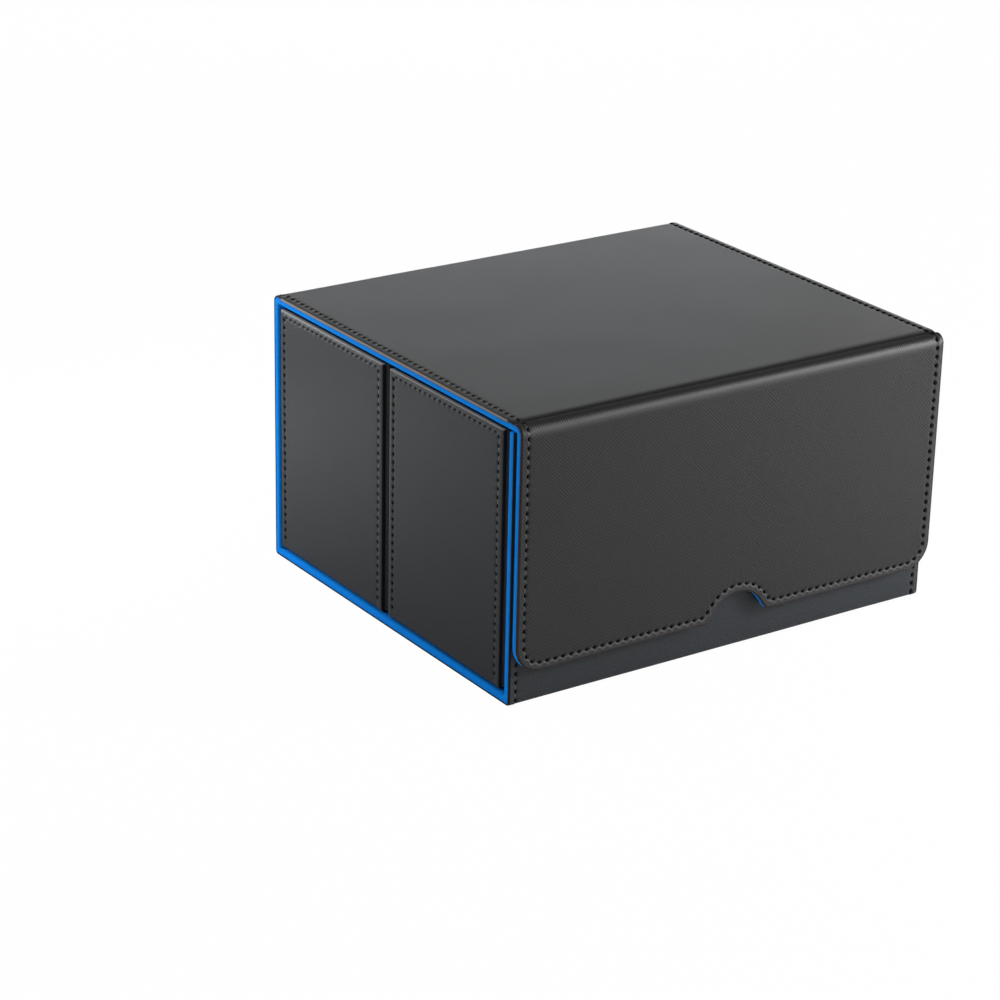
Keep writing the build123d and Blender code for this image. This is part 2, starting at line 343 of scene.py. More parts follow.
def addNode(tree, kind, links=(), **settings):
    node = tree.nodes.new("ShaderNode" + kind)
    for key, value in settings.items():
        setattr(node, key, value)
    for socket, source in dict(links).items():
        if isinstance(source, (int, float, tuple)):
            node.inputs[socket].default_value = source
        else:
            tree.links.new(source, node.inputs[socket])
    return node


def blendColours(tree, share, first, second):
    mix = addNode(tree, "Mix", {0: share, 6: first, 7: second}, data_type="RGBA", clamp_factor=True)
    return mix.outputs[2]


def blendValues(tree, share, first, second):
    mix = addNode(tree, "Mix", {0: share, 2: first, 3: second}, data_type="FLOAT", clamp_factor=True)
    return mix.outputs[0]


def combine(tree, kind, first, second):
    return addNode(tree, "Math", {0: first, 1: second}, operation=kind).outputs[0]


def stretched(tree, source, low, high):
    return addNode(tree, "MapRange", {"Value": source, "To Min": low, "To Max": high}).outputs[0]


def noiseOf(tree, coords, size, detail, **more):
    inputs = {"Vector": coords, "Scale": 1 / size, "Detail": detail, **more}
    return addNode(tree, "TexNoise", inputs).outputs["Fac"]


def attributeOf(tree, name):
    return addNode(tree, "Attribute", attribute_name=name).outputs["Fac"]


def coverSurface(tree, shader, look, tone, gloss, relief):
    bump = addNode(tree, "Bump", {"Height": relief, "Distance": look["depth"], "Strength": look["strength"]})
    for socket, source in (("Base Color", tone), ("Roughness", gloss), ("Normal", bump.outputs[0])):
        tree.links.new(source, shader.inputs[socket])


bandScale = 0.1 * math.pi  # scale of a wave texture whose bands are one unit apart


def leatherFinish(name, look):
    material, tree, shader = startFinish(name)
    if look["coords"] == "flat":
        coords = addNode(tree, "UVMap", uv_map="flat").outputs[0]
    else:
        coords = addNode(tree, "TexCoord").outputs["Object"]
    ribs = []
    for turn, wander in look["ribs"]:  # pressed twill two ways, and the comb across the fold
        turned = addNode(tree, "Mapping", {"Vector": coords, "Rotation": (0, 0, math.radians(turn))})
        ribs.append(addNode(tree, "TexWave", {
            "Vector": turned.outputs[0], "Scale": bandScale / look["ribPitch"], "Distortion": wander,
            "Detail": look["ribDetail"], "Detail Scale": look["ribDetailScale"]},
            wave_type="BANDS", wave_profile="SIN").outputs["Fac"])
    weave = blendValues(tree, look["mainRib"], ribs[1], ribs[0])
    crimped = attributeOf(tree, "crimp")
    weave = blendValues(tree, crimped, weave, ribs[2])
    grain = noiseOf(tree, coords, look["poreSize"], look["poreDetail"], Roughness=look["poreRoughness"])
    least, most = look["poreRange"]
    pores = addNode(tree, "MapRange", {"Value": grain, "From Min": least, "From Max": most}).outputs[0]
    patches = noiseOf(tree, coords, look["patchSize"], look["patchDetail"], Roughness=look["patchRoughness"])
    relief = combine(tree, "ADD", combine(tree, "MULTIPLY", weave, look["ribShare"]),
                     combine(tree, "MULTIPLY", pores, 1 - look["ribShare"]))
    tone = blendColours(tree, stretched(tree, patches, 0.0, 1.0), look["deep"], look["pale"])
    # painted highlight: crests of the embossed twill and grain are lightened, standing in for the sheen they
    # catch
    tone = blendColours(tree, combine(tree, "MULTIPLY", relief, look["ribTone"]), tone, look["crest"])
    # painted highlight: the edge strips, the stitch ridges and the crown of the fold are lightened towards a
    # pale tone here, as if they caught the light
    worn = combine(tree, "MULTIPLY", attributeOf(tree, "wear"), look["wear"])
    tone = blendColours(tree, worn, tone, look["worn"])
    # painted shade between the comb's ridges along the fold, in the near-black pit tone
    combShade = combine(tree, "MULTIPLY", crimped, stretched(tree, ribs[2], 1.0, 0.0))
    tone = blendColours(tree, combShade, tone, look["pit"])
    # painted shade: the stitch pits and the crease are darkened to the near-black pit tone
    shadeMask = attributeOf(tree, "hole")
    tone = blendColours(tree, shadeMask, tone, look["pit"])
    gloss = combine(tree, "ADD", stretched(tree, pores, look["smooth"], look["rough"]),
                    combine(tree, "MULTIPLY", shadeMask, look["pitRough"]))
    coverSurface(tree, shader, look, tone, gloss, relief)
    shader.inputs["Specular IOR Level"].default_value = look["specular"]
    return material


twillLook = {
    "coords": "flat", "ribPitch": 1.05 * mm, "ribs": ((45, 1.3), (-59.5, 1.8), (0, 2.2)),  # degrees, wander
    "ribDetail": 1.0, "ribDetailScale": 0.35, "mainRib": 0.64, "ribShare": 0.55, "ribTone": 0.85,
    "poreSize": 0.8 * mm, "poreDetail": 3.0, "poreRoughness": 0.6, "poreRange": (0.25, 0.75),
    "patchSize": 22 * mm, "patchDetail": 4.0, "patchRoughness": 0.55,
    "deep": (0.0055, 0.0055, 0.0057, 1), "pale": (0.009, 0.009, 0.0093, 1), "crest": (0.044, 0.044, 0.045, 1),
    # on the next line the pale tone is painted highlight and the near-black tone painted shade
    "worn": (0.135, 0.135, 0.137, 1), "wear": 0.8, "pit": (0.0008, 0.0008, 0.0009, 1), "pitRough": 0.5,
    "smooth": 0.34, "rough": 0.52, "depth": 0.14 * mm, "strength": 0.55, "specular": 0.24,
}
smoothLook = {
    **twillLook, "ribShare": 0.2, "mainRib": 0.5, "ribTone": 0.7, "depth": 0.07 * mm, "strength": 0.5,
    "smooth": 0.30, "rough": 0.43,
}
# a paler, bluer copy of the leather for the case's front wall, bottom and back: painted reflection of the
# pale floor and painted blue bounce from the felt
litWallLook = {
    **smoothLook, "deep": (0.0105, 0.012, 0.0138, 1), "pale": (0.0165, 0.0188, 0.0212, 1),
    "crest": (0.056, 0.0625, 0.070, 1), "smooth": 0.34, "rough": 0.52,
}
boxLook = {
    **smoothLook, "coords": "object", "ribShare": 0.15, "ribTone": 0.9, "depth": 0.11 * mm, "strength": 0.7,
    "deep": (0.003, 0.003, 0.0032, 1), "pale": (0.006, 0.006, 0.0063, 1), "crest": (0.032, 0.032, 0.033, 1),
    "smooth": 0.34, "rough": 0.52,
}
twillLeather = leatherFinish("twill_leather", twillLook)
smoothLeather = leatherFinish("smooth_leather", smoothLook)
litWallLeather = leatherFinish("wall_leather", litWallLook)
boxLeather = leatherFinish("drawer_leather", boxLook)


def fibreFinish(name, look):
    material, tree, shader = startFinish(name)
    coords = addNode(tree, "TexCoord").outputs["Object"]
    fibres = noiseOf(tree, coords, look["fibre"], look["fibreDetail"], Roughness=look["fibreRoughness"],
                     Distortion=look["fibreTwist"])
    clumps = noiseOf(tree, coords, look["clump"], look["clumpDetail"])
    tone = blendColours(tree, stretched(tree, clumps, 0.0, 1.0), look["deep"], look["pale"])
    tone = blendColours(tree, stretched(tree, fibres, *look["tipRange"]), tone, look["tip"])
    gloss = stretched(tree, fibres, look["smooth"], look["rough"])
    coverSurface(tree, shader, look, tone, gloss, fibres)
    shader.inputs["Specular IOR Level"].default_value = look["specular"]
    shader.inputs["Sheen Weight"].default_value = look["sheen"]
    shader.inputs["Sheen Roughness"].default_value = look["sheenRoughness"]
    shader.inputs["Sheen Tint"].default_value = look["tip"]
    return material


fibreLook = {
    "fibreDetail": 5.0, "fibreRoughness": 0.7, "fibreTwist": 0.8, "clumpDetail": 3.0, "tipRange": (-0.4, 1.2),
    "strength": 0.7, "sheen": 0.0, "sheenRoughness": 0.45,
}
edgeLook = {  # the leather's cut edges
    **fibreLook, "fibre": 0.25 * mm, "clump": 5 * mm, "depth": 0.08 * mm, "smooth": 0.6, "rough": 0.8,
    "specular": 0.3,
}
blueFelt = fibreFinish("blue_felt", {
    **fibreLook, "fibre": 0.35 * mm, "clump": 6 * mm, "depth": 0.12 * mm, "smooth": 0.75, "rough": 0.95,
    "specular": 0.06, "sheen": 0.1, "deep": (0.001, 0.17, 0.70, 1), "pale": (0.002, 0.24, 0.88, 1),
    "tip": (0.006, 0.34, 0.99, 1)})
tanEdge = fibreFinish("tan_cut_edge", {
    **edgeLook, "deep": (0.17, 0.13, 0.105, 1), "pale": (0.28, 0.22, 0.18, 1), "tip": (0.36, 0.29, 0.24, 1)})
brownEdge = fibreFinish("brown_cut_edge", {
    **edgeLook, "deep": (0.010, 0.0055, 0.006, 1), "pale": (0.018, 0.010, 0.011, 1),
    "tip": (0.028, 0.016, 0.017, 1), "smooth": 0.55, "rough": 0.75})
paleEdge = fibreFinish("pale_cut_edge", {
    **edgeLook, "deep": (0.42, 0.32, 0.22, 1), "pale": (0.54, 0.43, 0.31, 1), "tip": (0.62, 0.51, 0.38, 1)})
darkEdge = fibreFinish("dark_cut_edge", {
    **edgeLook, "deep": (0.003, 0.003, 0.003, 1), "pale": (0.006, 0.005, 0.005, 1),
    "tip": (0.010, 0.008, 0.008, 1), "specular": 0.2})
blackThread = fibreFinish("black_thread", {
    **edgeLook, "fibre": 0.18 * mm, "clump": 4 * mm, "depth": 0.05 * mm, "specular": 0.06,
    "deep": (0.0008, 0.0008, 0.001, 1), "pale": (0.0015, 0.0015, 0.0018, 1),
    "tip": (0.003, 0.003, 0.0035, 1)})
greyBoard = fibreFinish("grey_board", {
    **fibreLook, "fibre": 0.6 * mm, "clump": 9 * mm, "depth": 0.06 * mm, "smooth": 0.75, "rough": 0.95,
    "specular": 0.2, "deep": (0.30, 0.28, 0.25, 1), "pale": (0.40, 0.38, 0.35, 1),
    "tip": (0.48, 0.46, 0.43, 1)})


def steelFinish(name, look):
    material, tree, shader = startFinish(name)
    coords = addNode(tree, "TexCoord").outputs["Object"]
    drawn = addNode(tree, "Mapping", {"Vector": coords, "Scale": (1, 1, look["stretch"])}).outputs[0]
    lines = noiseOf(tree, drawn, look["line"], look["lineDetail"])
    tone = blendColours(tree, lines, look["deep"], look["pale"])
    gloss = stretched(tree, lines, look["smooth"], look["rough"])
    coverSurface(tree, shader, look, tone, gloss, lines)
    shader.inputs["Metallic"].default_value = 1.0
    return material


platedSteel = steelFinish("plated_steel", {
    "line": 0.4 * mm, "lineDetail": 4.0, "stretch": 0.04, "depth": 0.02 * mm, "strength": 0.4, "smooth": 0.22,
    "rough": 0.42, "deep": (0.45, 0.45, 0.47, 1), "pale": (0.66, 0.66, 0.68, 1)})
print("finishes ready")

wrap = {
    "thickness": {"case": 0.45 * mm, "lid": 1.0 * mm, "flap": 0.7 * mm},
    "rimTurn": 1.0 * mm,  # felt over a board's edge
    "foldRadius": 1.6 * mm,
    "lidFold": 2.5 * mm,
    "flapFold": 4.0 * mm,
    "creaseSetback": 5.4 * mm,
    "crease": {  # pressed groove with painted shade, then a comb of painted shade, then a painted highlight on the crown of the fold
        "depth": 0.45 * mm, "width": 1.3 * mm, "shade": 0.96, "shadeAt": 0.6 * mm, "shadeWidth": 1.6 * mm,
        "combMiddle": 3.0 * mm, "combReach": 3.4 * mm, "combPress": 1.5,
        "foldWear": 0.6, "foldAt": 6.2 * mm, "foldWidth": 1.7 * mm},
    "creaseCuts": (-1.4, -0.9, -0.6, -0.3, 0, 0.3, 0.6, 0.9, 1.4),  # mm from the groove
    "seamLap": 3.0 * mm,  # a hinge's own piece reaches this far past the fold
    "creaseLap": 4.0 * mm,
    "dye": 0.8 * mm,  # how far an edge's colour reaches onto the face
    "lidDye": 0.12 * mm,
    "rowInset": 3.2 * mm,
    "pitch": 3.63 * mm,
    "stitchSteps": 6,
    "rings": [0, 0.12, 0.3, 0.5, 0.8, 1.2, 1.6, 1.9, 2.15, 2.4, 2.65, 2.9,
              3.2, 3.45, 3.7, 4.0, 4.6, 5.6],  # mm in from the cut edge
    "gridStep": 9.5 * mm,
    "gridColumns": 9,  # on each side of the middle
    "cornerCuts": 8, "hingeCuts": 12, "bendCuts": 16,
    "waveSeed": 3.7,
}
caseLow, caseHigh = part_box("case_cover")
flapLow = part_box("flap_cover")[0]
halfCase = caseHigh.x
backY, wallY, frontY = caseHigh.y, caseLow.y, flapLow.y
topZ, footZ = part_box("lid_cover")[1].z, flapLow.z
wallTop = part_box("front_wall_board")[1].z + wrap["rimTurn"]
wrapSteps = [
    (wallTop - wrap["foldRadius"], 0),
    (wrap["foldRadius"] * rightAngle, wrap["foldRadius"]),
    (backY - wallY - 2 * wrap["foldRadius"], 0),
    (wrap["foldRadius"] * rightAngle, wrap["foldRadius"]),
    (topZ - wrap["foldRadius"] - wrap["lidFold"], 0),
    (wrap["lidFold"] * rightAngle, wrap["lidFold"]),
    (backY - frontY - wrap["lidFold"] - wrap["flapFold"], 0),
    (wrap["flapFold"] * rightAngle, wrap["flapFold"]),
    (topZ - wrap["flapFold"] - footZ, 0),
]
wrapRoute = layRoute((wallY, wallTop), -rightAngle, wrapSteps)
reached = np.cumsum([length for length, radius in wrapSteps])
hingeFrom, hingeTo, bendFrom, bendTo, wrapEnd = reached[4:]
creaseAt = bendFrom - (wrap["creaseSetback"] - wrap["flapFold"])
print("case route", round(wrapEnd / mm, 1), "mm")


def wrapPlace(across, a, b):
    return Vector((across, a, b))


gridLines = [i * wrap["gridStep"] for i in range(-wrap["gridColumns"], wrap["gridColumns"] + 1)]
ringInsets = [inset * mm for inset in wrap["rings"]]
sideCuts = [side * (halfCase - inset) for inset in ringInsets[1:] for side in (-1, 1)] + gridLines
rowX = halfCase - wrap["rowInset"]
seamEnds = {  # along the route, where one piece of leather takes over from the next
    "hingeStart": hingeFrom - wrap["seamLap"],
    "hingeEnd": hingeTo + wrap["seamLap"],
    "bendStart": creaseAt - wrap["creaseLap"],
    "bendEnd": bendTo + wrap["seamLap"],
}
straightRows = [np.array([(side * rowX, 0.0), (side * rowX, seamEnds["bendEnd"])]) for side in (-1, 1)]
straightEdges = [np.array([(side * halfCase, 0.0), (side * halfCase, wrapEnd)]) for side in (-1, 1)]
straightPitch = evenPitch(straightRows[0], wrap["pitch"])
crease = {**wrap["crease"], "at": creaseAt}


def wrapLeather(name, layer, begin, end, finish, edge, dye, extraCuts=()):
    bm = stripSheet(halfCase, begin, end, straightPitch / wrap["stitchSteps"])
    cutSheet(bm, sideCuts, 0)
    cutSheet(bm, [c for c in extraCuts if begin < c < end], 1)
    rows = [(row, straightPitch) for row in straightRows]
    pressSheet(bm, straightEdges, rows, wrap["rowInset"], wrap["waveSeed"], crease)
    thickenSheet(bm, wrap["thickness"][layer], (0, dye))
    keepFlatMap(bm)
    foldSheet(bm, wrapRoute, wrapPlace)
    return addPiece(bm, name, [finish, edge, edge])


def foldCuts(first, last, count):
    return [first + (last - first) * i / count for i in range(count + 1)]


cornerCuts = [cut for i in (0, 2) for cut in foldCuts(reached[i], reached[i + 1], wrap["cornerCuts"])]
hingeCuts = foldCuts(hingeFrom, hingeTo, wrap["hingeCuts"])
bendCuts = foldCuts(bendFrom, bendTo, wrap["bendCuts"]) + [creaseAt + cut * mm for cut in wrap["creaseCuts"]]
caseLeather = wrapLeather("case_leather", "case", 0.0, seamEnds["hingeStart"], litWallLeather, darkEdge,
                          wrap["dye"], cornerCuts)
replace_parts(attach(caseLeather, "case"), "case_cover")
hingeLeather = wrapLeather("lid_hinge_leather", "case", seamEnds["hingeStart"], seamEnds["hingeEnd"],
                           smoothLeather, darkEdge, wrap["lidDye"], hingeCuts)
lidLeather = wrapLeather("lid_leather", "lid", seamEnds["hingeEnd"], seamEnds["bendStart"],
                         smoothLeather, tanEdge, wrap["lidDye"])
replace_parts(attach(lidLeather, "lid"), "lid_cover")
bendLeather = wrapLeather("flap_bend_leather", "flap", seamEnds["bendStart"], seamEnds["bendEnd"],
                          twillLeather, brownEdge, wrap["dye"], bendCuts)
lidBlend = {  # from the lid
    "start": (0, backY - wrap["lidFold"], topZ),
    "end": (0, backY, topZ - wrap["lidFold"]),
}
flapBlend = {
    "start": (0, frontY + wrap["flapFold"], topZ),
    "end": (0, frontY, topZ - wrap["flapFold"]),
}
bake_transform(hingeLeather, "lid", "case", **lidBlend)
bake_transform(bendLeather, "lid", "flap", **flapBlend)
print("case and lid leather folded")

flapCut = {
    "cornerRadius": 11.0 * mm,
    "notchHeight": 10.4 * mm,
    "notchRadius": 13.5 * mm,
    "notchSlope": math.radians(54),
    "notchShift": 3.3 * mm,
    "footRadius": 1.6 * mm,
    "leastRadius": 0.3 * mm,
    "sideSteps": 170, "cornerSteps": 32, "bottomSteps": 140,
    "footSteps": 3, "slopeSteps": 14, "crownSteps": 48,
    "gridTop": 9.0 * mm,  # plain leather above and below the cross cuts
    "gridFoot": 14.0 * mm,
}


def drawFlap(bm, inset, top):
    c = flapCut
    half = halfCase - inset
    corner = c["cornerRadius"] - inset
    crown = c["notchRadius"] + inset
    slope = c["notchSlope"]
    hipRise = c["notchHeight"] - c["notchRadius"] + crown * math.cos(slope) - inset
    footX = crown * math.sin(slope) + hipRise / math.tan(slope)
    foot = max(c["footRadius"] - inset, c["leastRadius"])
    tangent = foot * math.tan(slope / 2)
    side = (0, wrapEnd - inset - corner - top, c["sideSteps"])
    flat = half - corner - footX - tangent
    before, after = ((0, flat + shift, c["bottomSteps"]) for shift in (c["notchShift"], -c["notchShift"]))
    ramp = (0, hipRise / math.sin(slope) - tangent, c["slopeSteps"])
    turn = (corner, -rightAngle, c["cornerSteps"])
    kick = (foot, -slope, c["footSteps"])
    over = (crown, 2 * slope, c["crownSteps"])
    moves = [side, turn, before, kick, ramp, over, ramp, kick, after, turn, side]
    return drawChain(bm, (-half, top), rightAngle, moves)


flapBm, flapRings = ringSheet(lambda bm, inset: drawFlap(bm, inset, seamEnds["bendEnd"]), ringInsets)
cutSheet(flapBm, gridLines, 0)
gridTop, gridFoot = seamEnds["bendEnd"] + flapCut["gridTop"], wrapEnd - flapCut["gridFoot"]
cutSheet(flapBm, np.arange(gridTop, gridFoot, wrap["gridStep"]), 1)
flapRow = flapRings[wrap["rowInset"]]
flapPitch = evenPitch(flapRow, wrap["pitch"])
pressSheet(flapBm, [flapRings[0.0]], [(flapRow, flapPitch)], wrap["rowInset"], wrap["waveSeed"], crease)
thickenSheet(flapBm, wrap["thickness"]["flap"], (0, wrap["dye"]))
keepFlatMap(flapBm)
foldSheet(flapBm, wrapRoute, wrapPlace)
flapLeather = addPiece(flapBm, "flap_leather", [twillLeather, brownEdge, brownEdge])
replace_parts(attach(flapLeather, "flap"), "flap_cover")
print("flap leather cut and folded")

stitch = {
    "length": 1.35 * mm,
    "thread": 0.42 * mm,
    "rise": 0.42 * mm,
    "top": 0.20 * mm,
    "sides": 6,
    "steps": 6,
    "lean": math.radians(7),
    "reach": 0.3,  # share of the pitch, each way, that a stitch is aimed by
    "turnWobble": math.radians(3),
    "liftWobble": 0.03 * mm,
    "lengthWobble": 0.06,
    "seed": 11,
}


def stitchShape():  # one arched stitch, its ends dip into the leather
    half, rise = stitch["length"] / 2, stitch["rise"]
    radius = (half**2 + rise**2) / (2 * rise)
    sweep = 2 * math.asin(half / radius)
    bm = bmesh.new()
    bmesh.ops.create_circle(bm, segments=stitch["sides"], radius=stitch["thread"], cap_ends=True,
                            matrix=Matrix.Rotation(rightAngle, 4, "Y"))
    bmesh.ops.translate(bm, verts=bm.verts[:], vec=(0, 0, radius))
    bmesh.ops.rotate(bm, verts=bm.verts[:], cent=(0, 0, 0), matrix=Matrix.Rotation(-sweep / 2, 3, "Y"))
    bmesh.ops.spin(bm, geom=bm.faces[:], cent=(0, 0, 0), axis=(0, 1, 0), angle=sweep, steps=stitch["steps"])
    bmesh.ops.remove_doubles(bm, verts=bm.verts[:], dist=weld)
    bmesh.ops.translate(bm, verts=bm.verts[:], vec=(0, 0, stitch["top"] - stitch["thread"] - radius))
    bmesh.ops.recalc_face_normals(bm, faces=bm.faces[:])
    mesh = bpy.data.meshes.new("stitch_shape")
    bm.to_mesh(mesh)
    bm.free()
    return mesh


oneStitch = stitchShape()
sewing = random.Random(stitch["seed"])


def sewRow(bm, line, pitch, begin, end):  # stitches whose middle is between two lengths of the row
    lengths = lengthsAlong(line)
    end = lengths[-1] if end is None else end
    for i in range(round(lengths[-1] / pitch)):
        middle = (i + 0.5) * pitch
        turn, lift, stretch = sewing.uniform(-1, 1), sewing.uniform(-1, 1), sewing.uniform(-1, 1)
        if not begin <= middle < end:
            continue
        reach = stitch["reach"] * pitch
        a = [float(np.interp(middle - reach, lengths, line[:, k])) for k in (0, 1)]
        b = [float(np.interp(middle + reach, lengths, line[:, k])) for k in (0, 1)]
        at = ((a[0] + b[0]) / 2, (a[1] + b[1]) / 2, lift * stitch["liftWobble"])
        angle = math.atan2(b[1] - a[1], b[0] - a[0]) + stitch["lean"] + turn * stitch["turnWobble"]
        place = Matrix.Translation(at) @ Matrix.Rotation(angle, 4, "Z")
        copy = oneStitch.copy()
        copy.transform(place @ Matrix.Diagonal((1 + stitch["lengthWobble"] * stretch, 1, 1, 1)))
        bm.from_mesh(copy)
        bpy.data.meshes.remove(copy)


def sewnPiece(name, rows, route, place):
    bm = bmesh.new()
    for line, pitch, begin, end in rows:
        sewRow(bm, line, pitch, begin, end)
    foldSheet(bm, route, place)
    return addPiece(bm, name, [blackThread], "thread")


def sewSides(name, begin, end):
    rows = [(row, straightPitch, begin, end) for row in straightRows]
    return sewnPiece(name, rows, wrapRoute, wrapPlace)


def nearestGap(length):  # between two stitches
    return round(length / straightPitch) * straightPitch


stitchEnds = {key: nearestGap(value) for key, value in seamEnds.items()}
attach(sewSides("case_stitches", 0, stitchEnds["hingeStart"]), "case")
hingeStitches = sewSides("lid_hinge_stitches", stitchEnds["hingeStart"], stitchEnds["hingeEnd"])
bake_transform(hingeStitches, "lid", "case", **lidBlend)
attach(sewSides("lid_stitches", stitchEnds["hingeEnd"], stitchEnds["bendStart"]), "lid")
bendStitches = sewSides("flap_bend_stitches", stitchEnds["bendStart"], stitchEnds["bendEnd"] + mm)
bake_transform(bendStitches, "lid", "flap", **flapBlend)
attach(sewnPiece("flap_stitches", [(flapRow, flapPitch, 0, None)], wrapRoute, wrapPlace), "flap")
print("case, lid and flap sewn")

feltWrap = {
    "lining": 1.0 * mm,
    "rimRadius": 0.8 * mm,
    "rimSteps": 4,
    "outerCorner": 1.1 * mm,
    "innerCorner": 0.6 * mm,
    "cornerSteps": 6,
    "hingeReach": 3.0 * mm,  # how far the pieces over the hinges lie on each board, past the fold
    "bendReach": 5.0 * mm,
    "foldShare": 0.42,  # of the fold that the felt turns in, clear of the front wall
    "station": 4.0 * mm,
    "foldStation": 0.8 * mm,
    "unevenness": 0.05 * mm,
    "unevenShare": 1.7,  # of a station
}


def softenFelt(bm, keep):  # slightly uneven, apart from the vertices that meet the next piece
    bm.normal_update()
    size = feltWrap["station"] * feltWrap["unevenShare"]
    free = [v for v in bm.verts if not keep(v)]
    moves = [v.normal * (noise.noise(v.co / size) * feltWrap["unevenness"]) for v in free]
    for v, move in zip(free, moves):
        v.co += move


def capCount(e):
    return sum(abs(f.normal.z) > 0.9 for f in e.link_faces)


def feltStrip(name, outer, inner, roundStart, meets):
    bm = bmesh.new()
    ends = bm.verts.layers.int.new("ends")
    chains = [drawChain(bm, *outer), drawChain(bm, *inner)]
    for chain in chains:
        chain[0][ends], chain[-1][ends] = 1, 2
    bmesh.ops.bridge_loops(bm, edges=chainEdges(chains[0]) + chainEdges(chains[1]))
    bmesh.ops.translate(bm, verts=bm.verts[:], vec=(0, 0, -halfCase))
    moved = newVerts(bmesh.ops.extrude_face_region(bm, geom=bm.faces[:]))
    bmesh.ops.translate(bm, verts=moved, vec=(0, 0, 2 * halfCase))
    bmesh.ops.recalc_face_normals(bm, faces=bm.faces[:])
    rims = []
    for e in bm.edges:
        a, b = e.verts
        atEnd = a[ends] == b[ends] != 0
        if (capCount(e) == 1 and not atEnd) or (roundStart and atEnd and a[ends] == 1):
            rims.append(e)
    bevelEdges(bm, rims, feltWrap["rimRadius"], feltWrap["rimSteps"], False)
    for v in bm.verts:
        v.co = Vector((v.co.z, v.co.x, v.co.y))
    softenFelt(bm, lambda v: meets(v.co))
    return addPiece(bm, name, [blueFelt], "felt")


def feltMoves(lengths, radius=0.0, spacing=feltWrap["station"]):  # straight runs joined by left-hand corners
    moves = []
    for i, length in enumerate(lengths):
        if i:
            moves.append((radius, rightAngle, feltWrap["cornerSteps"]))
        trim = radius * ((i > 0) + (i < len(lengths) - 1))
        moves.append((0, length - trim, max(1, round(length / spacing))))
    return moves


def foldMoves(reach, depth, radius):
    return feltMoves([reach - depth] * 2, radius, feltWrap["foldStation"])


def caseRuns(depth):
    return [wallTop - depth, backY - wallY - 2 * depth, feltTop - depth]


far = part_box("bottom_board")[1].z + feltWrap["lining"]
caseNear, lidNear, flapNear = (wrap["thickness"][layer] for layer in ("case", "lid", "flap"))
hingeReach = wrap["lidFold"] + feltWrap["hingeReach"]
bendReach = wrap["flapFold"] + feltWrap["bendReach"]
feltTop, feltBack = topZ - hingeReach, backY - hingeReach
bendTop, feltFront = topZ - bendReach, frontY + bendReach
caseFelt = feltStrip(
    "case_felt",
    ((wallY + caseNear, wallTop), -rightAngle, feltMoves(caseRuns(caseNear), feltWrap["outerCorner"])),
    ((wallY + far, wallTop), -rightAngle, feltMoves(caseRuns(far), feltWrap["innerCorner"])),
    True, lambda p: p.z > feltTop - mm and p.y > 0)
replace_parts(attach(caseFelt, "case"), "case_lining")
hingeFelt = feltStrip(
    "lid_hinge_felt",
    ((backY - caseNear, feltTop), rightAngle, foldMoves(hingeReach, caseNear, wrap["lidFold"] - caseNear)),
    ((backY - far, feltTop), rightAngle, foldMoves(hingeReach, far, feltWrap["innerCorner"])),
    False, lambda p: p.z < feltTop + mm or p.y < feltBack + mm)
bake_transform(hingeFelt, "lid", "case", **lidBlend)
lidFelt = feltStrip(
    "lid_felt",
    ((feltBack, topZ - lidNear), math.pi, feltMoves([feltBack - feltFront])),
    ((feltBack, topZ - far), math.pi, feltMoves([feltBack - feltFront])),
    False, lambda p: p.y > feltBack - mm or p.y < feltFront + mm)
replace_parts(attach(lidFelt, "lid"), "lid_lining")
bendFelt = feltStrip(
    "flap_bend_felt",
    ((feltFront, topZ - flapNear), math.pi, foldMoves(bendReach, flapNear, wrap["flapFold"] - flapNear)),
    ((feltFront, topZ - far), math.pi, foldMoves(bendReach, far, feltWrap["innerCorner"])),
    False, lambda p: p.z < bendTop + mm or p.y > feltFront - mm)
foldHalf = wrap["flapFold"] / 2
foldLap = foldHalf * feltWrap["foldShare"]
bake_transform(bendFelt, "lid", "flap",
         start=(0, frontY + foldHalf + foldLap, topZ - foldHalf + foldLap),
         end=(0, frontY + foldHalf - foldLap, topZ - foldHalf - foldLap))


def turnFlapFelt(name):
    bm = bmesh.new()
    top = bendTo + feltWrap["bendReach"]
    face = bm.faces.new(drawFlap(bm, 0.0, top))
    bmesh.ops.translate(bm, verts=bm.verts[:], vec=(0, 0, -flapNear))
    grown = bmesh.ops.extrude_face_region(bm, geom=[face])
    bmesh.ops.translate(bm, verts=newVerts(grown), vec=(0, 0, flapNear - far))
    bmesh.ops.recalc_face_normals(bm, faces=bm.faces[:])
    rims = [e for e in bm.edges if capCount(e) == 1 and max(v.co.y for v in e.verts) > top + sliver]
    bevelEdges(bm, rims, feltWrap["rimRadius"], feltWrap["rimSteps"], False)
    foldSheet(bm, wrapRoute, wrapPlace)
    return addPiece(bm, name, [blueFelt], "felt")


flapFelt = turnFlapFelt("flap_felt")
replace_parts(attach(flapFelt, "flap"), "flap_lining")
print("felt turned round the boards")

